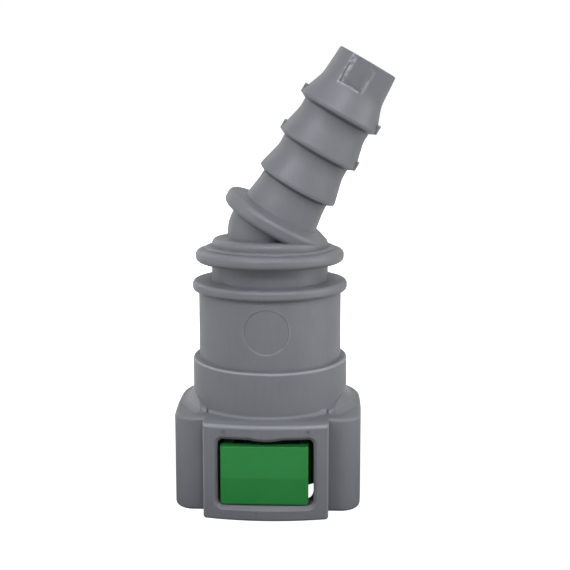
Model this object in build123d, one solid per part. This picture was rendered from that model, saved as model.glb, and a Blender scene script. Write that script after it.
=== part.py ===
from build123d import *
import os
from math import sqrt

# Plastic quick connector: a push-on socket for a beaded pipe end, with a green
# ring retainer that is released by pressing its two buttons, and a hose barb
# that leans away from the socket axis.
# Millimetres. Z is the socket axis, the origin is where it meets the bottom rim.
# The buttons face -Y and +Y, and the barb leans towards +X and a little to the front.

# Pipe end that the socket takes
spigot_radius = 7.91
spigot_bead_radius = 9.95
spigot_clearance = 0.05

# Socket, from the mouth upwards
mouth_radius = 10.2
mouth_depth = 14.3
mouth_lead = 0.6
seal_bore_radius = 9.95
seal_bore_depth = 11.9
guide_depth = 8.8
passage_radius = 4.6

# Round body
skirt_radius = 12.78
skirt_foot_round = 0.6
skirt_foot_spread = 0.72
shoulder_height = 22.6
shoulder_round = 0.35
neck_radius = 11.75
lower_flange_radius = 12.75
lower_flange_bottom = 33.7
lower_flange_thickness = 1.67
lower_flange_round = 0.6
groove_radius = 9.58
groove_width = 2.98
upper_flange_radius = 12.21
upper_flange_thickness = 2.11
upper_flange_round = 0.88
step_radius = 10.7
step_height = 0.45
step_round = 0.3
boss_radius = 9.55
boss_height = 1.4
boss_round = 0.95
stub_radius = 6.97

# Elbow and hose barb; heights here are measured along the barb from the elbow
elbow_above_boss = 0.85
barb_lean = 30.2
barb_turn = 8.0
barb_bore_radius = 3.9
barb_length = 31.55
barb_foot_radius = 6.52
barb_waist_radius = 5.96
barb_waist_height = 6.85
barb_root_radius = 5.84
barb_tip_foot_radius = 5.37
barb_tip_radius = 5.01
barb_tip_round = 0.2
crest_radius = 6.85
first_crest = 9.08
crest_pitch = 6.63
crest_count = 3
crest_land = 0.44
crest_flank = 3.96
last_flank = 3.75
flank_blend = 5.5
shelf_drop = 0.54
pad_proud = 0.13
pad_length = 1.47
pad_width = 2.6
tip_flat_width = 3.8
tip_flat_length = 4.75

# Collar at the foot of the barb, a bead with sloping sides
collar_radius = 9.22
collar_bottom = 1.15
collar_thickness = 2.2
collar_round = 0.85
collar_top_rise = 0.45
collar_bottom_drop = 0.45

# Housing around the retainer
housing_height = 15.23
lobe_width = 30.3
lobe_depth = 23.3
lobe_crown = 108.0
lobe_front_corner = 3.2
lobe_back_corner = 9.5
lobe_top_round = 0.6
lobe_bottom_round = 0.6
frame_width = 19.35
frame_depth = 31.5
frame_crown = 45.0
frame_bottom_round = 0.5
frame_edge_round = 0.5
flare_height = 2.1
flare_cove = 2.65
flare_margin = 0.75
flare_arch = 20.3
flare_arch_rise = 0.3
window_width = 14.8
window_sill = 2.33
window_lintel = 2.35
window_corner = 0.9
window_bevel = 0.55
window_dip = 0.3
window_dip_width = 5.0
side_wall = 1.65
front_wall = 1.3
floor_slot_depth = 23.5
floor_slot_corner = 1.2

# Ring retainer
button_width = 13.55
button_thickness = 1.6
button_recess = 0.5
button_gap_below = 0.11
button_gap_above = 1.11
button_crease_height = 4.37
button_crease_lean = 0.14
button_side_round = 0.35
button_offset = 0.18
button_corner_cut = 0.55
ring_clearance = 0.1
ring_thickness = 1.35
ring_lift = 1.06
leg_thickness = 1.35
leg_inset = 0.18
leg_lift = 3.0
lock_edge = 8.35
lock_width = 8.4
lock_height = 2.4
lock_lead_height = 3.4

# Seals, spacer and bush in the seal bore
seal_gland = 2.6
spacer_thickness = 2.6
bush_bore_lead = 0.8
bush_bead_height = 0.25
bush_bead_width = 1.0
bush_bead_offset = 1.6
seat_gap = 0.02

# Round mark of a mould insert on the front of the neck
mark_radius = 3.52
mark_height = 28.77
mark_depth = 0.08

# Small square ejector marks above the front window
pin_mark_side = 0.6
pin_mark_offset = 6.5
pin_mark_drop = 1.17
pin_mark_depth = 0.07

# How far cutting shapes run past what they cut
overrun = 1.0

# How near an edge's middle must lie to a size to be picked by it
edge_slack = 0.01

# Places that follow from the sizes above
lower_flange_top = lower_flange_bottom + lower_flange_thickness
upper_flange_bottom = lower_flange_top + groove_width
upper_flange_top = upper_flange_bottom + upper_flange_thickness
step_top = upper_flange_top + step_height
boss_top = step_top + boss_height
elbow_height = boss_top + elbow_above_boss
socket_radius = spigot_radius + spigot_clearance
seal_section = seal_bore_radius - socket_radius - 2 * seat_gap
seal_bore_top = mouth_depth + seal_bore_depth
guide_top = seal_bore_top + guide_depth
window_height = housing_height - window_sill - window_lintel
window_middle = window_sill + window_height / 2
button_height = window_height - button_gap_below - button_gap_above
barb_place = Pos(0, 0, elbow_height) * Rot(0, 0, -barb_turn) * Rot(0, barb_lean, 0)


def turned(points, rounds=()):
    """Solid of revolution about Z from (radius, height) points; rounds are (point, radius)."""
    profile = make_face(Polyline(*points, close=True))
    for point, radius in rounds:
        corner = profile.vertices().sort_by_distance(point)[0]
        profile = fillet(corner, radius)
    return revolve(Plane.XZ * profile, Axis.Z)


def ring(outer, inner, bottom, top):
    """Plain ring with its axis on Z."""
    return turned([(inner, bottom), (outer, bottom), (outer, top), (inner, top)])


def elevation_prism(width, height, corner, middle, depth):
    """Rounded rectangle seen from the front, carried through the part along Y."""
    outline = Pos(0, middle) * RectangleRounded(width, height, corner)
    return extrude(Plane.XZ * outline, depth / 2, both=True)


def round_stack():
    """Everything that is turned about the socket axis, without its bores."""
    root = housing_height / 2
    foot_radius = skirt_radius + skirt_foot_spread
    points = [
        (0, root),
        (foot_radius, root),
        (foot_radius, housing_height),
        (skirt_radius, housing_height),
        (skirt_radius, shoulder_height),
        (neck_radius, shoulder_height),
        (neck_radius, lower_flange_bottom),
        (lower_flange_radius, lower_flange_bottom),
        (lower_flange_radius, lower_flange_top),
        (groove_radius, lower_flange_top),
        (groove_radius, upper_flange_bottom),
        (upper_flange_radius, upper_flange_bottom),
        (upper_flange_radius, upper_flange_top),
        (step_radius, upper_flange_top),
        (step_radius, step_top),
        (boss_radius, step_top),
        (boss_radius, boss_top),
        (stub_radius, boss_top),
        (stub_radius, elbow_height),
        (0, elbow_height),
    ]
    rounds = [
        ((skirt_radius, housing_height), skirt_foot_round),
        ((skirt_radius, shoulder_height), shoulder_round),
        ((lower_flange_radius, lower_flange_bottom), lower_flange_round),
        ((lower_flange_radius, lower_flange_top), lower_flange_round),
        ((upper_flange_radius, upper_flange_bottom), upper_flange_round),
        ((upper_flange_radius, upper_flange_top), upper_flange_round),
        ((step_radius, step_top), step_round),
        ((boss_radius, boss_top), boss_round),
    ]
    return turned(points, rounds) + Pos(0, 0, elbow_height) * Sphere(stub_radius)


def barb():
    """Fir-tree barb and its collar, about its own axis, from the elbow to the tip."""
    crests = [first_crest + step * crest_pitch for step in range(crest_count)]
    points = [(0, 0), (barb_foot_radius, 0), (barb_foot_radius, collar_bottom + collar_thickness)]
    points.append((barb_waist_radius, barb_waist_height))
    rounds = [((barb_tip_radius, barb_length), barb_tip_round)]
    for crest in crests:
        land_end = crest + crest_land
        points.append((barb_root_radius, crest - shelf_drop))
        points.append((crest_radius, crest))
        points.append((crest_radius, land_end))
        if crest == crests[-1]:
            flank_end = (barb_tip_foot_radius, land_end + last_flank)
        else:
            flank_end = (barb_root_radius, land_end + crest_flank)
        points.append(flank_end)
        rounds.append((flank_end, flank_blend))
    points += [(barb_tip_radius, barb_length), (0, barb_length)]
    whole = turned(points, rounds) + collar()
    for crest in crests[1:]:
        whole += parting_pads(crest)
    return whole - tip_flat()


def collar():
    """Bead around the foot of the barb that the hose runs up against."""
    top = collar_bottom + collar_thickness
    return turned(
        [
            (0, collar_bottom - collar_bottom_drop),
            (barb_foot_radius, collar_bottom - collar_bottom_drop),
            (collar_radius, collar_bottom),
            (collar_radius, top),
            (barb_foot_radius, top + collar_top_rise),
            (0, top + collar_top_rise),
        ],
        [((collar_radius, collar_bottom), collar_round), ((collar_radius, top), collar_round)],
    )


def parting_pads(crest):
    """The two small pads that a crest has where the mould halves meet."""
    reach = crest_radius + pad_proud
    band = ring(reach, barb_root_radius, crest, crest + pad_length)
    across = Box(2 * reach + pad_width, pad_width, pad_length)
    return band & Pos(0, 0, crest + pad_length / 2) * across


def tip_flat():
    """What is cut away for the short flat on the front of the tip."""
    distance = sqrt(barb_tip_radius**2 - (tip_flat_width / 2) ** 2)
    depth = crest_radius
    middle = barb_length - tip_flat_length / 2
    return Pos(0, -distance - depth / 2, middle) * Box(tip_flat_width, depth, tip_flat_length)


def window_frames():
    """The block whose crowned front and back faces hold the button windows."""
    crown_centre = frame_crown - frame_depth / 2
    plan = Rectangle(frame_width, frame_depth)
    plan &= Pos(0, crown_centre) * Circle(frame_crown)
    plan &= Pos(0, -crown_centre) * Circle(frame_crown)
    block = extrude(plan, housing_height)
    lower_sides = block.edges().filter_by(Axis.Y).group_by(Axis.Z)[0]
    block = fillet(lower_sides, frame_bottom_round)
    for side in (0, -1):
        face = block.faces().sort_by(Axis.Y)[side]
        block = fillet(face.edges(), frame_edge_round)
    block -= window_prism()
    reach = frame_depth / 2 - window_bevel - button_thickness / 2
    rims = [edge for edge in block.edges() if abs(edge.center().Y) > reach and on_window(edge)]
    return chamfer(rims, window_bevel)


def on_window(edge):
    """Whether an edge lies on the outline of the button windows."""
    place = edge.center()
    inside_width = abs(place.X) < window_width / 2 + edge_slack
    inside_height = abs(place.Z - window_middle) < window_height / 2 + edge_slack
    return inside_width and inside_height


def window_prism():
    """The button windows and the straight way between them; the top edge dips a little."""
    depth = frame_depth + 2 * overrun
    way = elevation_prism(window_width, window_height, window_corner, window_middle, depth)
    dip_radius = (window_dip_width**2 / 4 + window_dip**2) / (2 * window_dip)
    dip_centre = window_sill + window_height - window_dip + dip_radius
    dip = Plane.XZ * Pos(0, dip_centre) * Circle(dip_radius)
    return way - extrude(dip, depth / 2 + overrun, both=True)


def lobe_plan(inset_across, inset_along):
    """Plan of the housing without its frames, drawn in from the outside by two walls."""
    crown = lobe_crown - inset_across
    crown_centre = lobe_crown - lobe_width / 2
    plan = Rectangle(lobe_width - 2 * inset_across, lobe_depth - 2 * inset_along)
    plan &= Pos(crown_centre, 0) * Circle(crown)
    plan &= Pos(-crown_centre, 0) * Circle(crown)
    front = plan.vertices().group_by(Axis.Y)[0]
    plan = fillet(front, lobe_front_corner - inset_along)
    back = plan.vertices().group_by(Axis.Y)[-1]
    return fillet(back, lobe_back_corner - inset_along)


def lobes():
    """The two side lobes that give the ring's arms room to spread."""
    block = extrude(lobe_plan(0, 0), housing_height)
    block = fillet(block.edges().group_by(Axis.Z)[0], lobe_bottom_round)
    return fillet(block.edges().group_by(Axis.Z)[-1], lobe_top_round)


def flares():
    """Hollow-curved flares that lead from the round skirt out onto the lobes, lower at their ends."""
    foot = skirt_radius + flare_height
    top = housing_height + flare_height
    with BuildPart() as cove:
        with BuildSketch(Plane.XZ):
            with BuildLine():
                Line((skirt_radius, top), (0, top))
                Line((0, top), (0, housing_height))
                Line((0, housing_height), (foot, housing_height))
                RadiusArc((foot, housing_height), (skirt_radius, top), flare_cove)
            make_face()
        revolve(axis=Axis.Z)
    inset = lobe_plan(flare_margin, flare_margin)
    keep = extrude(inset - Rectangle(frame_width, frame_depth), top)
    arch = Plane.YZ * Pos(0, top + flare_arch_rise - flare_arch) * Circle(flare_arch)
    return cove.part & keep & extrude(arch, lobe_width, both=True)


def socket_bores():
    """Mouth, seal bore, guide bore and the passage up to the elbow."""
    groove_bottom = bush_bead_centre() - bush_bead_width / 2
    groove_top = bush_bead_centre() + bush_bead_width / 2
    return turned(
        [
            (0, -overrun),
            (mouth_radius + mouth_lead + overrun, -overrun),
            (mouth_radius, mouth_lead),
            (mouth_radius, mouth_depth),
            (seal_bore_radius, mouth_depth),
            (seal_bore_radius, groove_bottom),
            (seal_bore_radius + bush_bead_height, bush_bead_centre()),
            (seal_bore_radius, groove_top),
            (seal_bore_radius, seal_bore_top),
            (socket_radius, seal_bore_top),
            (socket_radius, guide_top),
            (passage_radius, guide_top),
            (passage_radius, elbow_height),
            (0, elbow_height),
        ]
    )


def elbow_passage():
    """Where the straight passage turns into the bore of the barb."""
    ball = Pos(0, 0, elbow_height) * Sphere(passage_radius)
    bore = extrude(Circle(barb_bore_radius), barb_length + overrun)
    return ball + barb_place * bore


def ring_cavity():
    """Room for the ring and its arms, open through the floor behind each window."""
    room = Pos(0, 0, window_sill) * extrude(lobe_plan(side_wall, front_wall), window_height)
    slot = RectangleRounded(window_width, floor_slot_depth, floor_slot_corner)
    return room + Pos(0, 0, -overrun) * extrude(slot, window_sill + 2 * overrun)


def insert_mark():
    """Shallow round mark on the front of the neck."""
    bottom = mark_height - mark_radius - overrun
    top = mark_height + mark_radius + overrun
    tube = ring(neck_radius + overrun, neck_radius - mark_depth, bottom, top)
    disc = Plane.XZ * Pos(0, mark_height) * Circle(mark_radius)
    return tube & extrude(disc, neck_radius + overrun)


def pin_marks():
    """Two shallow square marks on the crowned face above the front window."""
    crown_drop = frame_crown - sqrt(frame_crown**2 - pin_mark_offset**2)
    face = frame_depth / 2 - crown_drop
    cutter = Box(pin_mark_side, 2 * pin_mark_depth, pin_mark_side)
    place = Pos(pin_mark_offset, -face, housing_height - pin_mark_drop)
    return place * cutter + Pos(-2 * pin_mark_offset, 0, 0) * place * cutter


def connector_body():
    """The grey moulding, from the housing to the tip of the barb."""
    body = round_stack() + barb_place * barb()
    body += lobes() + window_frames() + flares()
    body -= socket_bores()
    body -= elbow_passage()
    body -= ring_cavity()
    body -= window_prism()
    body -= insert_mark()
    body -= pin_marks()
    return body


def bush_bead_centre():
    """Height of the snap bead that holds the bush."""
    return mouth_depth + bush_bead_offset


def button(side):
    """One button plate; its face has a slight crease across the middle."""
    bottom = window_sill + button_gap_below
    top = bottom + button_height
    face = frame_depth / 2 - button_recess
    back = face - button_thickness
    crease = bottom + button_crease_height
    profile = make_face(
        Polyline(
            (side * back, bottom),
            (side * (face - button_crease_lean), bottom),
            (side * face, crease),
            (side * (face - button_crease_lean), top),
            (side * back, top),
            close=True,
        )
    )
    plate = Pos(-button_offset, 0, 0) * extrude(Plane.YZ * profile, button_width / 2, both=True)
    corners = plate.edges().filter_by(Axis.Y).group_by(Axis.Z)[0]
    plate = fillet(corners, button_corner_cut)
    half_thickness = button_thickness / 2
    uprights = plate.edges().filter_by(Axis.Y, reverse=True)
    fronts = [edge for edge in uprights if side * edge.center().Y > back + half_thickness]
    ends = [edge for edge in fronts if on_button_end(edge)]
    return fillet(ends, button_side_round)


def on_button_end(edge):
    """Whether an edge of a button plate lies on its left or right end."""
    across = abs(edge.center().X + button_offset)
    return abs(across - button_width / 2) < edge_slack


def release_retainer():
    """The green one-piece ring: two buttons, two arms and two locking edges."""
    inner = spigot_bead_radius + ring_clearance
    outer = inner + ring_thickness
    bottom = window_sill + button_gap_below + ring_lift
    top = window_sill + button_gap_below + button_height
    leg_outside = button_width / 2 - leg_inset
    leg_inside = leg_outside - leg_thickness
    leg_start = sqrt(inner**2 - leg_inside**2)
    leg_end = frame_depth / 2 - button_recess - button_thickness / 2
    plan = Circle(outer) - Circle(inner) - Rectangle(2 * leg_inside, 2 * outer)
    whole = Pos(0, 0, bottom) * extrude(plan, top - bottom)
    leg_bottom = window_sill + button_gap_below + leg_lift
    for across in (-1, 1):
        for along in (-1, 1):
            centre = (across * (leg_outside - leg_thickness / 2), along * (leg_start + leg_end) / 2)
            leg = Pos(*centre) * Rectangle(leg_thickness, leg_end - leg_start)
            whole += Pos(0, 0, leg_bottom) * extrude(leg, top - leg_bottom)
    lead = lock_lead_height
    land = make_face(
        Polyline(
            (lock_edge, top),
            (lock_edge, top - lock_height),
            (inner, top - lock_height - lead),
            (inner + ring_thickness / 2, top - lock_height - lead),
            (inner + ring_thickness / 2, top),
            close=True,
        )
    )
    land = extrude(Plane.XZ * land, lock_width / 2, both=True)
    whole += land + mirror(land, Plane.YZ)
    for side in (-1, 1):
        whole += button(side)
    return whole


def seal(gland_bottom):
    """Rubber O-ring, drawn at the width it has once a pipe end squeezes it."""
    centre_radius = seal_bore_radius - seat_gap - seal_section / 2
    section = Pos(centre_radius, gland_bottom + seal_gland / 2) * Circle(seal_section / 2)
    return revolve(Plane.XZ * section, Axis.Z)


def retaining_bush(top):
    """Snap-in bush below the seals, with a lead for the pipe end."""
    return turned(
        [
            (socket_radius + bush_bore_lead, mouth_depth),
            (seal_bore_radius, mouth_depth),
            (seal_bore_radius, bush_bead_centre() - bush_bead_width / 2),
            (seal_bore_radius + bush_bead_height, bush_bead_centre()),
            (seal_bore_radius, bush_bead_centre() + bush_bead_width / 2),
            (seal_bore_radius, top),
            (socket_radius, top),
            (socket_radius, mouth_depth + bush_bore_lead),
        ]
    )


# Heights of the parts stacked in the seal bore, from the top down
inner_gland_bottom = seal_bore_top - seal_gland
spacer_bottom = inner_gland_bottom - spacer_thickness
outer_gland_bottom = spacer_bottom - seal_gland

nodes = {
    "connector_body": connector_body(),
    "release_retainer": release_retainer(),
    "inner_seal": seal(inner_gland_bottom),
    "seal_spacer": ring(seal_bore_radius, socket_radius, spacer_bottom, inner_gland_bottom),
    "outer_seal": seal(outer_gland_bottom),
    "retaining_bush": retaining_bush(outer_gland_bottom),
}

os.makedirs("parts", exist_ok=True)
for name, shape in nodes.items():
    export_step(shape, f"parts/{name}.step")
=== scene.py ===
import logging
import math
from dataclasses import dataclass
from enum import Enum
from typing import Any

import bmesh
import bpy
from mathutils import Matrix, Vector

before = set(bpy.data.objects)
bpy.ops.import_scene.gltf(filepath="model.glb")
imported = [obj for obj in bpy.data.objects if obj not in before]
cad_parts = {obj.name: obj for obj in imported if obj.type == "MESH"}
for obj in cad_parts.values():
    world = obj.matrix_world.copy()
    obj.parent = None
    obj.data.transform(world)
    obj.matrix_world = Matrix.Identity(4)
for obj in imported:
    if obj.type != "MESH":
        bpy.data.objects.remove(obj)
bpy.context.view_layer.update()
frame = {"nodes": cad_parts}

# Looks of a push-on quick connector for a beaded pipe end: a grey moulded body with an
# angled hose barb, and a green ring retainer whose two buttons show in its windows.
# Metres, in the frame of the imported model: Z is the socket axis and the front faces -Y.

MM = 0.001
WHITE = (1.0, 1.0, 1.0, 1.0)
log = logging.getLogger("connector")

Tree = bpy.types.NodeTree
Socket = bpy.types.NodeSocket

# Numbers of a mix node's colour sockets, which share their names with its number sockets
FIRST_COLOUR, SECOND_COLOUR, MIXED_COLOUR = 6, 7, 2

# Rays for each sample of a corner's rounding and of the open space around a point
CORNER_RAYS = 6

# Ranges of a noise texture, whose values cluster round 0.5, that are stretched to 0 to 1
PIGMENT_RANGE = (0.35, 0.65)
SATIN_RANGE = (0.3, 0.7)
BLOOM_RANGE = (0.4, 0.7)
PATCH_RANGE = (0.42, 0.60)

# Share of a patchy mark that is left between its patches
BETWEEN_PATCHES = 0.15

# Cosine of the angle between the face and its rounded normal, from no edge to a full one, for the
# painted edge highlights
EDGE_RANGE = (0.99, 0.80)

# Share of open space around a point: from a corner to an outer face, where painted highlights go,
# and from flat to a hollow, where painted shade goes
OUTER_RANGE = (0.80, 0.97)
PAINTED_SHADE_RANGE = (0.85, 0.35)

# Flow streaks: their share of the pigment's pattern, and their scale along each axis
STREAK_SHARE = 0.35
STREAK_SCALE = (1.0, 1.0, 0.18)

# Size of the satin's patches, as a share of the pigment's clouds
SATIN_PATCH_SHARE = 0.5

# Waviness of a wall that shrank as it cooled, in millimetres
WAVE_MM = 5.0
WAVE_DEPTH_MM = 0.05


class MouldSurface(Enum):
    """How the mould's steel was finished, which the plastic copies."""

    SPARK_ERODED = "spark eroded"
    STONED = "stoned"
    POLISHED = "polished"


# Size and depth of the grain in millimetres; all are drawn coarser than they are, because
# the real grain is finer than a pixel
GRAIN_MM = {
    MouldSurface.SPARK_ERODED: (0.22, 0.010),
    MouldSurface.STONED: (0.30, 0.005),
    MouldSurface.POLISHED: (0.50, 0.002),
}


def linear(colour: str) -> tuple[float, float, float, float]:
    """Turn an sRGB hex colour into a linear one.

    Args:
        colour: six hex digits after a hash sign.

    Returns:
        Red, green, blue and alpha for a node socket.
    """
    parts = [int(colour[place:place + 2], 16) / 255 for place in (1, 3, 5)]
    red, green, blue = (
        part / 12.92 if part <= 0.04045 else ((part + 0.055) / 1.055) ** 2.4 for part in parts
    )
    return (red, green, blue, 1.0)


def per_metre(size_mm: float) -> float:
    """Scale of a noise texture whose features are size_mm wide."""
    return 1.0 / (size_mm * MM)


def add_node(
    tree: Tree,
    kind: str,
    values: dict[str | int, Any] | None = None,
    links: dict[str | int, Socket] | None = None,
    **settings: Any,
) -> bpy.types.Node:
    """Add one node with its settings and links.

    Args:
        tree: the node tree that it goes into.
        kind: Blender's name of the node type.
        values: constants for its inputs, by socket name or number.
        links: sockets that feed its inputs, by socket name or number.
        **settings: the node's own properties.

    Returns:
        The new node.
    """
    node = tree.nodes.new(kind)
    for name, value in settings.items():
        setattr(node, name, value)
    for socket, value in (values or {}).items():
        node.inputs[socket].default_value = value
    for socket, source in (links or {}).items():
        tree.links.new(source, node.inputs[socket])
    return node


def empty_material(name: str) -> bpy.types.Material:
    """Make a node material with nothing in its tree.

    Args:
        name: the material's name.

    Returns:
        The new material.
    """
    material = bpy.data.materials.new(name)
    material.use_nodes = True
    material.node_tree.nodes.clear()
    return material


@dataclass(frozen=True)
class Span:
    """A range of values and the two values that its ends are turned into."""

    start: float
    end: float
    first: float = 0.0
    last: float = 1.0

    def values(self) -> dict[str, float]:
        """Return the range as the inputs of a node that turns it into another."""
        names = ("From Min", "From Max", "To Min", "To Max")
        return dict(zip(names, (self.start, self.end, self.first, self.last)))


def fade_out(full_mm: float, gone_mm: float) -> dict[str, float]:
    """Inputs of a node that falls from 1 to 0 between two distances."""
    return Span(full_mm * MM, gone_mm * MM, 1.0, 0.0).values()


@dataclass(frozen=True)
class PartingSeam:
    """Where the mould's halves met: a fine raised line on a plane through the socket axis."""

    turn_deg: float
    width_mm: float
    height_mm: float
    core_share: float = 0.3

    def mask(self, tree: Tree, place: Socket) -> Socket:
        """Add the nodes that are 1 on the seam and 0 away from it.

        Args:
            tree: the material's node tree.
            place: the object coordinates.

        Returns:
            The socket that carries the mask.
        """
        turn = math.radians(self.turn_deg)
        across = (math.sin(turn), math.cos(turn), 0.0)
        distance = add_node(
            tree, "ShaderNodeVectorMath", {1: across}, {0: place}, operation="DOT_PRODUCT"
        ).outputs["Value"]
        away = add_node(tree, "ShaderNodeMath", {}, {0: distance}, operation="ABSOLUTE")
        fade = fade_out(self.core_share * self.width_mm, self.width_mm)
        band = add_node(tree, "ShaderNodeMapRange", fade, {"Value": away.outputs[0]})
        return band.outputs["Result"]


@dataclass(frozen=True)
class LocalFrame:
    """Where a part of the moulding has its own origin and axes, as the barb has."""

    origin_mm: tuple[float, float, float]
    turn_deg: tuple[float, float, float]

    def coordinates(self, tree: Tree, place: Socket) -> Socket:
        """Turn object coordinates into the coordinates of this frame.

        Args:
            tree: the material's node tree.
            place: the object coordinates.

        Returns:
            The socket that carries the frame's coordinates.
        """
        values = {
            "Location": tuple(part * MM for part in self.origin_mm),
            "Rotation": tuple(math.radians(angle) for angle in self.turn_deg),
        }
        turned = add_node(
            tree, "ShaderNodeMapping", values, {"Vector": place}, vector_type="TEXTURE"
        )
        return turned.outputs["Vector"]


@dataclass(frozen=True, kw_only=True)
class MarkOrPaintedLight:
    """A small place that is paler or darker than around it: a mould mark, or painted light or
    shade.
    """

    share: float
    frame: LocalFrame | None = None
    patch_mm: float = 0.0

    def shape(self, tree: Tree, place: Socket) -> Socket:
        """Add the nodes that are 1 on the mark and 0 away from it."""
        raise NotImplementedError

    def mask(self, tree: Tree, place: Socket) -> Socket:
        """Add the mark in its own frame, broken up where it has patches.

        Args:
            tree: the material's node tree.
            place: the object coordinates.

        Returns:
            The socket that carries how much of the mark's colour shows.
        """
        seat = self.frame.coordinates(tree, place) if self.frame else place
        shape = self.shape(tree, seat)
        strength = add_node(
            tree, "ShaderNodeMath", {1: self.share}, {0: shape}, operation="MULTIPLY"
        ).outputs[0]
        if self.patch_mm == 0.0:
            return strength
        patches = add_node(
            tree,
            "ShaderNodeTexNoise",
            {"Scale": per_metre(self.patch_mm), "Detail": 2.0},
            {"Vector": place},
        )
        there = add_node(
            tree,
            "ShaderNodeMapRange",
            Span(*PATCH_RANGE, first=BETWEEN_PATCHES).values(),
            {"Value": patches.outputs["Fac"]},
        ).outputs["Result"]
        return add_node(
            tree, "ShaderNodeMath", {}, {0: strength, 1: there}, operation="MULTIPLY"
        ).outputs[0]


@dataclass(frozen=True, kw_only=True)
class RimLine(MarkOrPaintedLight):
    """A round rim about its frame's Z axis."""

    radius_mm: float
    height_mm: float
    width_mm: float
    core_share: float = 0.25

    def shape(self, tree: Tree, place: Socket) -> Socket:
        """Add the nodes that are 1 on the rim and 0 away from it.

        Args:
            tree: the material's node tree.
            place: the frame's coordinates.

        Returns:
            The socket that carries the shape.
        """
        flat = add_node(
            tree, "ShaderNodeVectorMath", {1: (1.0, 1.0, 0.0)}, {0: place}, operation="MULTIPLY"
        ).outputs["Vector"]
        radius = add_node(
            tree, "ShaderNodeVectorMath", {}, {0: flat}, operation="LENGTH"
        ).outputs["Value"]
        height = add_node(tree, "ShaderNodeSeparateXYZ", {}, {"Vector": place}).outputs["Z"]
        point = add_node(
            tree, "ShaderNodeCombineXYZ", {}, {"X": radius, "Z": height}
        ).outputs["Vector"]
        rim = (self.radius_mm * MM, 0.0, self.height_mm * MM)
        away = add_node(
            tree, "ShaderNodeVectorMath", {1: rim}, {0: point}, operation="DISTANCE"
        ).outputs["Value"]
        fade = fade_out(self.core_share * self.width_mm, self.width_mm)
        return add_node(tree, "ShaderNodeMapRange", fade, {"Value": away}).outputs["Result"]


@dataclass(frozen=True, kw_only=True)
class ToolMark(MarkOrPaintedLight):
    """The witness of a mould insert or pin on the front: a ring, or a spot where ring_mm is 0."""

    across_mm: float
    height_mm: float
    ring_mm: float
    width_mm: float
    core_share: float = 0.4

    def shape(self, tree: Tree, place: Socket) -> Socket:
        """Add the nodes that are 1 on the mark and 0 away from it.

        Args:
            tree: the material's node tree.
            place: the frame's coordinates.

        Returns:
            The socket that carries the shape.
        """
        level = add_node(
            tree, "ShaderNodeVectorMath", {1: (1.0, 0.0, 1.0)}, {0: place}, operation="MULTIPLY"
        ).outputs["Vector"]
        centre = (self.across_mm * MM, 0.0, self.height_mm * MM)
        away = add_node(
            tree, "ShaderNodeVectorMath", {1: centre}, {0: level}, operation="DISTANCE"
        ).outputs["Value"]
        off = add_node(
            tree, "ShaderNodeMath", {1: self.ring_mm * MM}, {0: away}, operation="SUBTRACT"
        ).outputs[0]
        near = add_node(tree, "ShaderNodeMath", {}, {0: off}, operation="ABSOLUTE").outputs[0]
        fade = fade_out(self.core_share * self.width_mm, self.width_mm)
        band = add_node(tree, "ShaderNodeMapRange", fade, {"Value": near}).outputs["Result"]
        depth = add_node(tree, "ShaderNodeSeparateXYZ", {}, {"Vector": place}).outputs["Y"]
        front = add_node(
            tree, "ShaderNodeMath", {1: 0.0}, {0: depth}, operation="LESS_THAN"
        ).outputs[0]
        return add_node(
            tree, "ShaderNodeMath", {}, {0: band, 1: front}, operation="MULTIPLY"
        ).outputs[0]


@dataclass(frozen=True, kw_only=True)
class BoxMark(MarkOrPaintedLight):
    """The surface inside a box along its frame's axes, such as a straight edge or a fine line."""

    low_mm: tuple[float, float, float]
    high_mm: tuple[float, float, float]
    fade_mm: float

    def shape(self, tree: Tree, place: Socket) -> Socket:
        """Add the nodes that are 1 inside the box and fade out around it.

        Args:
            tree: the material's node tree.
            place: the frame's coordinates.

        Returns:
            The socket that carries the shape.
        """
        ends = tuple(zip(self.low_mm, self.high_mm))
        centre = tuple((low + high) / 2 * MM for low, high in ends)
        half = tuple((high - low) / 2 * MM for low, high in ends)
        off = add_node(
            tree, "ShaderNodeVectorMath", {1: centre}, {0: place}, operation="SUBTRACT"
        ).outputs["Vector"]
        size = add_node(
            tree, "ShaderNodeVectorMath", {}, {0: off}, operation="ABSOLUTE"
        ).outputs["Vector"]
        beyond = add_node(
            tree, "ShaderNodeVectorMath", {1: half}, {0: size}, operation="SUBTRACT"
        ).outputs["Vector"]
        parts = add_node(tree, "ShaderNodeSeparateXYZ", {}, {"Vector": beyond}).outputs
        far = parts["X"]
        for part in (parts["Y"], parts["Z"]):
            far = add_node(
                tree, "ShaderNodeMath", {}, {0: far, 1: part}, operation="MAXIMUM"
            ).outputs[0]
        fade = fade_out(0.0, self.fade_mm)
        return add_node(tree, "ShaderNodeMapRange", fade, {"Value": far}).outputs["Result"]


def join_marks(tree: Tree, place: Socket, share: Socket, marks: tuple[MarkOrPaintedLight, ...]) -> Socket:
    """Add marks to a share, so that the strongest of them all shows at each point.

    Args:
        tree: the material's node tree.
        place: the object coordinates.
        share: the socket that carries the share without the marks.
        marks: the marks of one colour.

    Returns:
        The socket that carries the share with the marks.
    """
    for mark in marks:
        shown = mark.mask(tree, place)
        share = add_node(
            tree, "ShaderNodeMath", {}, {0: share, 1: shown}, operation="MAXIMUM"
        ).outputs[0]
    return share


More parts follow.
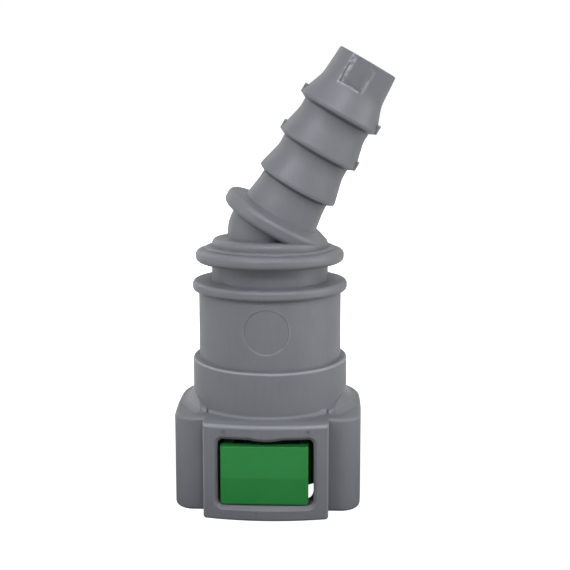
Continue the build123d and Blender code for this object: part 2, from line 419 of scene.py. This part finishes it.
@dataclass(frozen=True)
class MouldedPlastic:
    """An opaque plastic straight from its mould, neither painted nor polished."""

    name: str
    colour: str
    cloud_colour: str
    # The next two colours are painted: highlight on outer edges and shade in inner corners
    highlight_colour: str
    painted_shade_colour: str
    roughness: float
    roughness_spread: float
    surface: MouldSurface
    cloud_mm: float = 7.0
    streak_mm: float = 0.5
    edge_mm: float = 0.25
    highlight_share: float = 0.3
    hollow_mm: float = 0.5
    painted_shade_share: float = 0.4
    ior: float = 1.53
    specular: float = 0.5
    seam: PartingSeam | None = None
    # Pale and dark marks, among them painted highlights and painted shade
    pale_marks_and_highlights: tuple[MarkOrPaintedLight, ...] = ()
    dark_marks_and_shade: tuple[MarkOrPaintedLight, ...] = ()

    def material(self) -> bpy.types.Material:
        """Build the material.

        Returns:
            A material that needs only object coordinates.
        """
        material = empty_material(self.name)
        tree = material.node_tree
        place = add_node(tree, "ShaderNodeTexCoord").outputs["Object"]
        softened = add_node(
            tree, "ShaderNodeBevel", {"Radius": self.edge_mm * MM}, samples=CORNER_RAYS
        ).outputs["Normal"]
        shader = add_node(
            tree,
            "ShaderNodeBsdfPrincipled",
            {"IOR": self.ior, "Metallic": 0.0, "Specular IOR Level": self.specular},
            {
                "Base Color": self.colour_nodes(tree, place, softened),
                "Roughness": self.roughness_nodes(tree, place),
                "Normal": self.relief_nodes(tree, place, softened),
            },
        )
        add_node(tree, "ShaderNodeOutputMaterial", {}, {"Surface": shader.outputs["BSDF"]})
        return material

    def colour_nodes(self, tree: Tree, place: Socket, softened: Socket) -> Socket:
        """Add the colour: the pigment, then painted highlights on outer edges, then painted shade
        in inner corners.

        Args:
            tree: the material's node tree.
            place: the object coordinates.
            softened: the normal with its edges rounded.

        Returns:
            The socket that carries the colour.
        """
        around = add_node(
            tree,
            "ShaderNodeAmbientOcclusion",
            {"Distance": self.hollow_mm * MM},
            samples=CORNER_RAYS,
            only_local=True,
        ).outputs["AO"]
        # Painted highlights on the outer edges, then painted shade in the inner corners
        layers = (
            (self.highlight_colour, self.painted_highlight_nodes(tree, place, softened, around)),
            (self.painted_shade_colour, self.painted_shade_nodes(tree, place, around)),
        )
        colour = self.pigment_nodes(tree, place)
        for paint, share in layers:
            colour = add_node(
                tree,
                "ShaderNodeMix",
                {SECOND_COLOUR: linear(paint)},
                {"Factor": share, FIRST_COLOUR: colour},
                data_type="RGBA",
            ).outputs[MIXED_COLOUR]
        return colour

    def pigment_nodes(self, tree: Tree, place: Socket) -> Socket:
        """Add the pigment's clouds and the streaks that it took as the plastic flowed.

        Args:
            tree: the material's node tree.
            place: the object coordinates.

        Returns:
            The socket that carries the colour.
        """
        clouds = add_node(
            tree,
            "ShaderNodeTexNoise",
            {"Scale": per_metre(self.cloud_mm), "Detail": 3.0},
            {"Vector": place},
        )
        stretched = add_node(
            tree, "ShaderNodeMapping", {"Scale": STREAK_SCALE}, {"Vector": place}
        )
        streaks = add_node(
            tree,
            "ShaderNodeTexNoise",
            {"Scale": per_metre(self.streak_mm), "Detail": 2.0},
            {"Vector": stretched.outputs["Vector"]},
        )
        both = add_node(
            tree,
            "ShaderNodeMix",
            {"Factor": STREAK_SHARE},
            {"A": clouds.outputs["Fac"], "B": streaks.outputs["Fac"]},
            data_type="FLOAT",
        )
        share = add_node(
            tree, "ShaderNodeMapRange", Span(*PIGMENT_RANGE).values(), {"Value": both.outputs[0]}
        )
        pigment = add_node(
            tree,
            "ShaderNodeMix",
            {FIRST_COLOUR: linear(self.colour), SECOND_COLOUR: linear(self.cloud_colour)},
            {"Factor": share.outputs["Result"]},
            data_type="RGBA",
        )
        return pigment.outputs[MIXED_COLOUR]

    def painted_highlight_nodes(self, tree: Tree, place: Socket, softened: Socket, around: Socket) -> Socket:
        """Add how much paler the surface is: painted highlight on its outer edges, and the pale
        marks, which are mostly painted highlights.

        Args:
            tree: the material's node tree.
            place: the object coordinates.
            softened: the normal with its edges rounded.
            around: the share of open space around each point.

        Returns:
            The socket that carries the share of the painted highlight colour.
        """
        true_normal = add_node(tree, "ShaderNodeNewGeometry").outputs["Normal"]
        agreement = add_node(
            tree,
            "ShaderNodeVectorMath",
            {},
            {0: true_normal, 1: softened},
            operation="DOT_PRODUCT",
        ).outputs["Value"]
        turned = add_node(
            tree,
            "ShaderNodeMapRange",
            Span(*EDGE_RANGE, last=self.highlight_share).values(),
            {"Value": agreement},
        ).outputs["Result"]
        outward = add_node(
            tree, "ShaderNodeMapRange", Span(*OUTER_RANGE).values(), {"Value": around}
        ).outputs["Result"]
        # Painted highlight where the rounded normal turns away from an outer face
        edge = add_node(
            tree, "ShaderNodeMath", {}, {0: turned, 1: outward}, operation="MULTIPLY"
        ).outputs[0]
        return join_marks(tree, place, edge, self.pale_marks_and_highlights)

    def painted_shade_nodes(self, tree: Tree, place: Socket, around: Socket) -> Socket:
        """Add how much darker the surface is: painted shade in its inner corners, and the dark
        marks, some of them painted shade.

        Args:
            tree: the material's node tree.
            place: the object coordinates.
            around: the share of open space around each point.

        Returns:
            The socket that carries the share of the painted shade colour.
        """
        # Painted shade where a point has little open space around it
        hollow = add_node(
            tree,
            "ShaderNodeMapRange",
            Span(*PAINTED_SHADE_RANGE, last=self.painted_shade_share).values(),
            {"Value": around},
        ).outputs["Result"]
        return join_marks(tree, place, hollow, self.dark_marks_and_shade)

    def roughness_nodes(self, tree: Tree, place: Socket) -> Socket:
        """Add the satin, which is patchy where the plastic left the steel early or late.

        Args:
            tree: the material's node tree.
            place: the object coordinates.

        Returns:
            The socket that carries the roughness.
        """
        patches = add_node(
            tree,
            "ShaderNodeTexNoise",
            {"Scale": per_metre(SATIN_PATCH_SHARE * self.cloud_mm), "Detail": 4.0},
            {"Vector": place},
        )
        low, high = self.roughness - self.roughness_spread, self.roughness + self.roughness_spread
        satin = add_node(
            tree,
            "ShaderNodeMapRange",
            Span(*SATIN_RANGE, low, high).values(),
            {"Value": patches.outputs["Fac"]},
        )
        return satin.outputs["Result"]

    def relief_nodes(self, tree: Tree, place: Socket, softened: Socket) -> Socket:
        """Add the slight waviness of a shrunk wall, the mould's grain and the seam.

        Args:
            tree: the material's node tree.
            place: the object coordinates.
            softened: the normal with its edges rounded.

        Returns:
            The socket that carries the normal.
        """
        grain_mm, depth_mm = GRAIN_MM[self.surface]
        waves = add_node(
            tree,
            "ShaderNodeTexNoise",
            {"Scale": per_metre(WAVE_MM), "Detail": 1.0},
            {"Vector": place},
        )
        grain = add_node(
            tree,
            "ShaderNodeTexNoise",
            {"Scale": per_metre(grain_mm), "Detail": 2.0},
            {"Vector": place},
        )
        layers = [(waves.outputs["Fac"], WAVE_DEPTH_MM), (grain.outputs["Fac"], depth_mm)]
        if self.seam:
            layers.append((self.seam.mask(tree, place), self.seam.height_mm))
        normal = softened
        for height, rise_mm in layers:
            normal = add_node(
                tree,
                "ShaderNodeBump",
                {"Strength": 1.0, "Distance": rise_mm * MM},
                {"Height": height, "Normal": normal},
            ).outputs["Normal"]
        return normal


@dataclass(frozen=True)
class MouldedRubber:
    """A sealing rubber that keeps a little of the mould's polish under a dusty bloom."""

    name: str
    colour: str
    bloom_colour: str
    roughness: float
    roughness_spread: float
    bloom_mm: float
    skin_mm: float
    skin_depth_mm: float
    ior: float = 1.52

    def material(self) -> bpy.types.Material:
        """Build the material.

        Returns:
            A material that needs only object coordinates.
        """
        material = empty_material(self.name)
        tree = material.node_tree
        place = add_node(tree, "ShaderNodeTexCoord").outputs["Object"]
        bloom = add_node(
            tree,
            "ShaderNodeTexNoise",
            {"Scale": per_metre(self.bloom_mm), "Detail": 4.0},
            {"Vector": place},
        ).outputs["Fac"]
        share = add_node(
            tree, "ShaderNodeMapRange", Span(*BLOOM_RANGE).values(), {"Value": bloom}
        ).outputs["Result"]
        dusty = add_node(
            tree,
            "ShaderNodeMix",
            {FIRST_COLOUR: linear(self.colour), SECOND_COLOUR: linear(self.bloom_colour)},
            {"Factor": share},
            data_type="RGBA",
        ).outputs[MIXED_COLOUR]
        skin = add_node(
            tree,
            "ShaderNodeTexNoise",
            {"Scale": per_metre(self.skin_mm), "Detail": 2.0},
            {"Vector": place},
        ).outputs["Fac"]
        low, high = self.roughness - self.roughness_spread, self.roughness + self.roughness_spread
        matt = add_node(
            tree, "ShaderNodeMapRange", {"To Min": low, "To Max": high}, {"Value": skin}
        ).outputs["Result"]
        relief = add_node(
            tree,
            "ShaderNodeBump",
            {"Strength": 1.0, "Distance": self.skin_depth_mm * MM},
            {"Height": skin},
        ).outputs["Normal"]
        shader = add_node(
            tree,
            "ShaderNodeBsdfPrincipled",
            {"IOR": self.ior, "Metallic": 0.0},
            {"Base Color": dusty, "Roughness": matt, "Normal": relief},
        )
        add_node(tree, "ShaderNodeOutputMaterial", {}, {"Surface": shader.outputs["BSDF"]})
        return material


# The plane through the socket axis and the barb's axis, which is turned a little to the front
BODY_SEAM = PartingSeam(turn_deg=8.0, width_mm=0.09, height_mm=0.03)
BARB_FRAME = LocalFrame(origin_mm=(0.0, 0.0, 43.16), turn_deg=(0.0, 30.2, -8.0))

# Heights of the barb's crests above the foot of the barb's axis, and of the shade below each
CREST_HEIGHTS_MM = (9.08, 15.71, 22.34)
CREST_SHADE_DROP_MM = 0.30

# Painted highlights on rounded rims that catch the light: the skirt's shoulder and its foot,
# and the top, left and right edges of the window frame's front
RIM_HIGHLIGHTS = (
    RimLine(radius_mm=12.70, height_mm=22.45, width_mm=0.34, share=0.36),
    RimLine(radius_mm=13.45, height_mm=15.55, width_mm=0.38, share=0.35),
    BoxMark(low_mm=(-9.7, -16.0, 14.80), high_mm=(9.7, -13.4, 15.15), fade_mm=0.20, share=0.26),
    BoxMark(low_mm=(-9.9, -16.0, 1.0), high_mm=(-9.50, -14.2, 15.2), fade_mm=0.16, share=0.30),
    BoxMark(low_mm=(9.55, -16.0, 1.0), high_mm=(9.9, -14.2, 15.2), fade_mm=0.16, share=0.18),
)

# The ring of the round mould insert on the neck, and a painted glint at the flare's end on the
# skirt's foot
INSERT_RING_AND_CORNER_GLINT = (
    ToolMark(
        across_mm=0.0, height_mm=28.77, ring_mm=3.58, width_mm=0.20, share=0.20, patch_mm=1.6
    ),
    # Painted highlight on the end corner of the flare at the right of the skirt's foot
    BoxMark(
        low_mm=(8.50, -12.0, 15.75), high_mm=(9.05, -7.5, 15.95),
        fade_mm=0.22, share=0.45, patch_mm=0.4,
    ),
)

# Painted glints on the left, lower and right edges of the flat on the barb's tip
TIP_FLAT_GLINTS = (
    BoxMark(
        low_mm=(-1.95, -6.0, 26.8), high_mm=(-1.50, -4.2, 31.1),
        fade_mm=0.45, share=1.0, frame=BARB_FRAME, patch_mm=0.8,
    ),
    BoxMark(
        low_mm=(-1.95, -6.0, 26.66), high_mm=(1.5, -4.2, 26.86),
        fade_mm=0.16, share=0.9, frame=BARB_FRAME, patch_mm=2.0,
    ),
    BoxMark(
        low_mm=(1.85, -6.0, 26.9), high_mm=(2.05, -4.0, 30.4),
        fade_mm=0.45, share=0.50, frame=BARB_FRAME, patch_mm=1.8,
    ),
)

# Shade under each of the barb's crests
CREST_MARKS = tuple(
    RimLine(
        radius_mm=6.15, height_mm=crest_mm - CREST_SHADE_DROP_MM, width_mm=0.55,
        share=0.55, frame=BARB_FRAME,
    )
    for crest_mm in CREST_HEIGHTS_MM
)

# The witness of two ejector pins above the window
PIN_MARKS = tuple(
    ToolMark(across_mm=across_mm, height_mm=13.95, ring_mm=0.0, width_mm=0.62, share=0.30)
    for across_mm in (-6.4, 6.4)
)

# A fine dark line below the window
DARK_LINE_BELOW_WINDOW = BoxMark(
    low_mm=(-1.48, -16.0, -0.1), high_mm=(-1.32, -13.0, 1.7),
    fade_mm=0.08, share=0.40, patch_mm=0.8,
)

# Glass-filled polyamide, moulded in spark-eroded steel: a fine dry satin that breaks up
# reflections into soft bands, with painted highlights on its edges and painted shade in its
# corners
GREY_POLYAMIDE = MouldedPlastic(
    name="grey_glass_filled_polyamide",
    colour="#5E5F64",
    cloud_colour="#636468",
    highlight_colour="#9A9BA0",
    painted_shade_colour="#36363A",
    roughness=0.46,
    roughness_spread=0.05,
    surface=MouldSurface.SPARK_ERODED,
    seam=BODY_SEAM,
    pale_marks_and_highlights=RIM_HIGHLIGHTS + INSERT_RING_AND_CORNER_GLINT + TIP_FLAT_GLINTS,
    dark_marks_and_shade=CREST_MARKS + PIN_MARKS + (DARK_LINE_BELOW_WINDOW,),
)

# The button's face bends a little at its crease: painted light above it and painted shade below
# it
CREASE_PAINTED_LIGHT = BoxMark(
    low_mm=(-7.0, -16.0, 6.9), high_mm=(7.0, 16.0, 12.0), fade_mm=0.3, share=0.10
)
CREASE_PAINTED_SHADE = BoxMark(
    low_mm=(-7.0, -16.0, 2.0), high_mm=(7.0, 16.0, 6.7), fade_mm=0.3, share=0.05
)

# Green polyamide without glass, moulded in stoned steel: an even satin, smoother than the
# grey, with painted highlights on its edges and painted shade in its corners
GREEN_POLYAMIDE = MouldedPlastic(
    name="green_polyamide_moulding",
    colour="#196D2C",
    cloud_colour="#1C7130",
    highlight_colour="#3C9152",
    painted_shade_colour="#0E451C",
    roughness=0.44,
    roughness_spread=0.04,
    surface=MouldSurface.STONED,
    cloud_mm=5.0,
    edge_mm=0.22,
    highlight_share=0.45,
    specular=0.3,
    pale_marks_and_highlights=(CREASE_PAINTED_LIGHT,),
    dark_marks_and_shade=(CREASE_PAINTED_SHADE,),
)

# Black polyamide of the inner rings, moulded in polished steel: even and a little glossy, with
# painted highlights on its edges and painted shade in its corners
BLACK_POLYAMIDE = MouldedPlastic(
    name="black_polyamide_moulding",
    colour="#1A1A1C",
    cloud_colour="#202022",
    highlight_colour="#343437",
    painted_shade_colour="#0E0E0F",
    roughness=0.36,
    roughness_spread=0.04,
    surface=MouldSurface.POLISHED,
    cloud_mm=3.0,
    edge_mm=0.1,
)

# Black sealing rubber, moulded: a soft satin with a greyish bloom that has come to its
# surface; its skin is drawn coarser than it is, so that it shows
SEAL_RUBBER = MouldedRubber(
    name="moulded_seal_rubber",
    colour="#111112",
    bloom_colour="#1D1D1F",
    roughness=0.45,
    roughness_spread=0.06,
    bloom_mm=1.5,
    skin_mm=0.25,
    skin_depth_mm=0.004,
)


def dress(node: str, material: bpy.types.Material) -> bpy.types.Object:
    """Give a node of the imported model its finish.

    Args:
        node: the node's name.
        material: what each of its material slots takes.

    Returns:
        The node's object.
    """
    piece = frame["nodes"][node]
    if not piece.material_slots:
        piece.data.materials.append(material)
    for place in piece.material_slots:
        place.material = material
    return piece


@dataclass
class ConnectorBody:
    """The grey moulding from the housing's rim to the tip of the barb."""

    node: str = "connector_body"
    finish: MouldedPlastic = GREY_POLYAMIDE

    def build(self) -> list[bpy.types.Object]:
        """Dress the moulding and return its pieces."""
        return [dress(self.node, self.finish.material())]


@dataclass
class ReleaseRetainer:
    """The green ring whose buttons show in the two windows."""

    node: str = "release_retainer"
    finish: MouldedPlastic = GREEN_POLYAMIDE

    def build(self) -> list[bpy.types.Object]:
        """Dress the ring and return its pieces."""
        return [dress(self.node, self.finish.material())]


@dataclass
class SealStack:
    """Two rubber rings with a spacer between them, held by a snap-in bush."""

    seals: tuple[str, ...] = ("inner_seal", "outer_seal")
    rings: tuple[str, ...] = ("seal_spacer", "retaining_bush")
    rubber: MouldedRubber = SEAL_RUBBER
    plastic: MouldedPlastic = BLACK_POLYAMIDE

    def build(self) -> list[bpy.types.Object]:
        """Dress the four rings.

        Returns:
            The seals, and then the plastic rings.
        """
        groups = ((self.seals, self.rubber.material()), (self.rings, self.plastic.material()))
        return [dress(node, material) for nodes, material in groups for node in nodes]


@dataclass(frozen=True)
class Softbox:
    """One soft light, with a grid in front of it where its spread is below 180 degrees."""

    name: str
    place: tuple[float, float, float]
    size: tuple[float, float]
    watts: float
    aim: tuple[float, float, float] = (0.0, 0.0, 0.035)
    spread_deg: float = 180.0
    colour: str = "#FFFFFF"

    def build(self) -> None:
        """Make the light and turn it towards the point that it lights."""
        light = bpy.data.lights.new(self.name, "AREA")
        light.shape = "RECTANGLE"
        light.size, light.size_y = self.size
        light.energy = self.watts
        light.spread = math.radians(self.spread_deg)
        light.color = linear(self.colour)[:3]
        lamp = bpy.data.objects.new(self.name, light)
        lamp.location = self.place
        towards = Vector(self.aim) - Vector(self.place)
        lamp.rotation_euler = towards.to_track_quat("-Z", "Y").to_euler()
        lamp.visible_camera = False
        bpy.context.scene.collection.objects.link(lamp)


# Two large softboxes at the sides, one behind and one in front shape the body
LARGE_SOFTBOXES = (
    Softbox("side_left", place=(-0.5, -0.1, 0.10), size=(0.3, 0.4), watts=0.55),
    Softbox("side_right", place=(0.5, -0.1, 0.10), size=(0.3, 0.4), watts=1.38),
    Softbox("rear_left", place=(-0.35, 0.35, 0.20), size=(0.3, 0.5), watts=0.38),
    Softbox("front_right", place=(0.45, -0.55, 0.22), size=(0.3, 0.5), watts=0.19),
)

# Two small cool ones with grids light the barb and spare the body
BARB_SOFTBOXES = tuple(
    Softbox(name, place, (0.17, 0.13), watts, aim, spread_deg=24.0, colour="#F2F7FF")
    for name, place, watts, aim in (
        ("barb_right", (0.06, -0.17, 0.20), 0.030, (0.009, 0.0, 0.058)),
        ("barb_left", (-0.09, -0.16, 0.19), 0.022, (0.007, 0.0, 0.056)),
    )
)


@dataclass
class Studio:
    """Plain pale floor in a dim tent, lit by softboxes.

    The camera sees floor and backdrop as plain white. What lights the object is dimmer: a
    tent that brightens towards its top, and a board that is darker right under the object.
    """

    floor_radius: float = 6.0
    floor_sides: int = 96
    floor_colour: str = "#E6E6E5"
    floor_roughness: tuple[float, float] = (0.75, 0.95)
    floor_specular: float = 0.2
    floor_glow: float = 0.97
    fibre_mm: float = 1.0
    mat_colour: str = "#7E7E7E"
    mat_radii: tuple[float, float] = (0.020, 0.088)
    backdrop: float = 1.0
    tent_low: float = 0.46
    tent_high: float = 0.97
    tent_rise: float = 0.9
    softboxes: tuple[Softbox, ...] = LARGE_SOFTBOXES + BARB_SOFTBOXES

    def build(self) -> None:
        """Make the floor, the tent and the lights."""
        self.lay_floor()
        self.hang_tent()
        for softbox in self.softboxes:
            softbox.build()

    def lay_floor(self) -> None:
        """Lay a flat disc under the object."""
        mesh = bpy.data.meshes.new("floor")
        shape = bmesh.new()
        bmesh.ops.create_circle(
            shape, cap_ends=True, segments=self.floor_sides, radius=self.floor_radius
        )
        shape.to_mesh(mesh)
        shape.free()
        mesh.materials.append(self.board())
        floor = bpy.data.objects.new("floor", mesh)
        bpy.context.scene.collection.objects.link(floor)

    def board(self) -> bpy.types.Material:
        """Build the pale matt board, darker in the middle and white to the camera.

        Returns:
            The floor's material.
        """
        material = empty_material("pale_board")
        tree = material.node_tree
        place = add_node(tree, "ShaderNodeTexCoord").outputs["Object"]
        fibre = add_node(
            tree,
            "ShaderNodeTexNoise",
            {"Scale": per_metre(self.fibre_mm), "Detail": 3.0},
            {"Vector": place},
        ).outputs["Fac"]
        matt = add_node(
            tree,
            "ShaderNodeMapRange",
            Span(0.0, 1.0, *self.floor_roughness).values(),
            {"Value": fibre},
        ).outputs["Result"]
        away = add_node(
            tree, "ShaderNodeVectorMath", {}, {0: place}, operation="LENGTH"
        ).outputs["Value"]
        beyond_mat = add_node(
            tree, "ShaderNodeMapRange", Span(*self.mat_radii).values(), {"Value": away}
        ).outputs["Result"]
        board = add_node(
            tree,
            "ShaderNodeMix",
            {FIRST_COLOUR: linear(self.mat_colour), SECOND_COLOUR: linear(self.floor_colour)},
            {"Factor": beyond_mat},
            data_type="RGBA",
        ).outputs[MIXED_COLOUR]
        seen = add_node(tree, "ShaderNodeLightPath").outputs["Is Camera Ray"]
        glow = add_node(
            tree, "ShaderNodeMath", {1: self.floor_glow}, {0: seen}, operation="MULTIPLY"
        ).outputs[0]
        shader = add_node(
            tree,
            "ShaderNodeBsdfPrincipled",
            {"Specular IOR Level": self.floor_specular, "Emission Color": WHITE},
            {"Base Color": board, "Roughness": matt, "Emission Strength": glow},
        )
        add_node(tree, "ShaderNodeOutputMaterial", {}, {"Surface": shader.outputs["BSDF"]})
        return material

    def hang_tent(self) -> None:
        """Set the world: plain white behind the object, and a dimmer tent that lights it."""
        world = bpy.data.worlds.new("tent")
        world.use_nodes = True
        tree = world.node_tree
        tree.nodes.clear()
        direction = add_node(tree, "ShaderNodeTexCoord").outputs["Generated"]
        height = add_node(tree, "ShaderNodeSeparateXYZ", {}, {"Vector": direction}).outputs["Z"]
        strength = add_node(
            tree,
            "ShaderNodeMapRange",
            Span(0.0, self.tent_rise, self.tent_low, self.tent_high).values(),
            {"Value": height},
        ).outputs["Result"]
        tent = add_node(tree, "ShaderNodeBackground", {"Color": WHITE}, {"Strength": strength})
        white = add_node(
            tree, "ShaderNodeBackground", {"Color": WHITE, "Strength": self.backdrop}
        )
        seen = add_node(tree, "ShaderNodeLightPath").outputs["Is Camera Ray"]
        both = add_node(
            tree,
            "ShaderNodeMixShader",
            {},
            {0: seen, 1: tent.outputs["Background"], 2: white.outputs["Background"]},
        )
        add_node(tree, "ShaderNodeOutputWorld", {}, {"Surface": both.outputs["Shader"]})
        bpy.context.scene.world = world


@dataclass(frozen=True)
class ProductCamera:
    """Camera in front of the object and a little above it, looking slightly down."""

    place_mm: tuple[float, float, float] = (7.63, -147.154, 59.754)
    pitch_down_deg: float = 7.5
    turn_deg: float = 2.0
    lens_mm: float = 56.842
    sensor_mm: float = 36.0
    shift_up: float = -0.0641
    clip_range: tuple[float, float] = (0.005, 50.0)

    def build(self) -> None:
        """Make the camera and look through it."""
        lens = bpy.data.cameras.new("product_camera")
        lens.lens = self.lens_mm
        lens.sensor_width = self.sensor_mm
        lens.shift_y = self.shift_up
        lens.clip_start, lens.clip_end = self.clip_range
        camera = bpy.data.objects.new("product_camera", lens)
        camera.location = Vector(self.place_mm) * MM
        camera.rotation_euler = (
            math.radians(90 - self.pitch_down_deg), 0.0, math.radians(self.turn_deg)
        )
        bpy.context.scene.collection.objects.link(camera)
        bpy.context.scene.camera = camera


def show_plain_colours() -> None:
    """Show colours as they are, without a film curve."""
    view = bpy.context.scene.view_settings
    view.view_transform = "Standard"
    view.look = "None"
    view.exposure = 0.0
    view.gamma = 1.0


def main() -> None:
    """Build the camera, the studio and every sub-assembly in order."""
    logging.basicConfig(level=logging.INFO, format="%(name)s: %(message)s")
    ProductCamera().build()
    Studio().build()
    show_plain_colours()
    for assembly in (ConnectorBody(), ReleaseRetainer(), SealStack()):
        for piece in assembly.build():
            log.info("%s: %d faces", piece.name, len(piece.data.polygons))


if __name__ == "__main__":
    main()
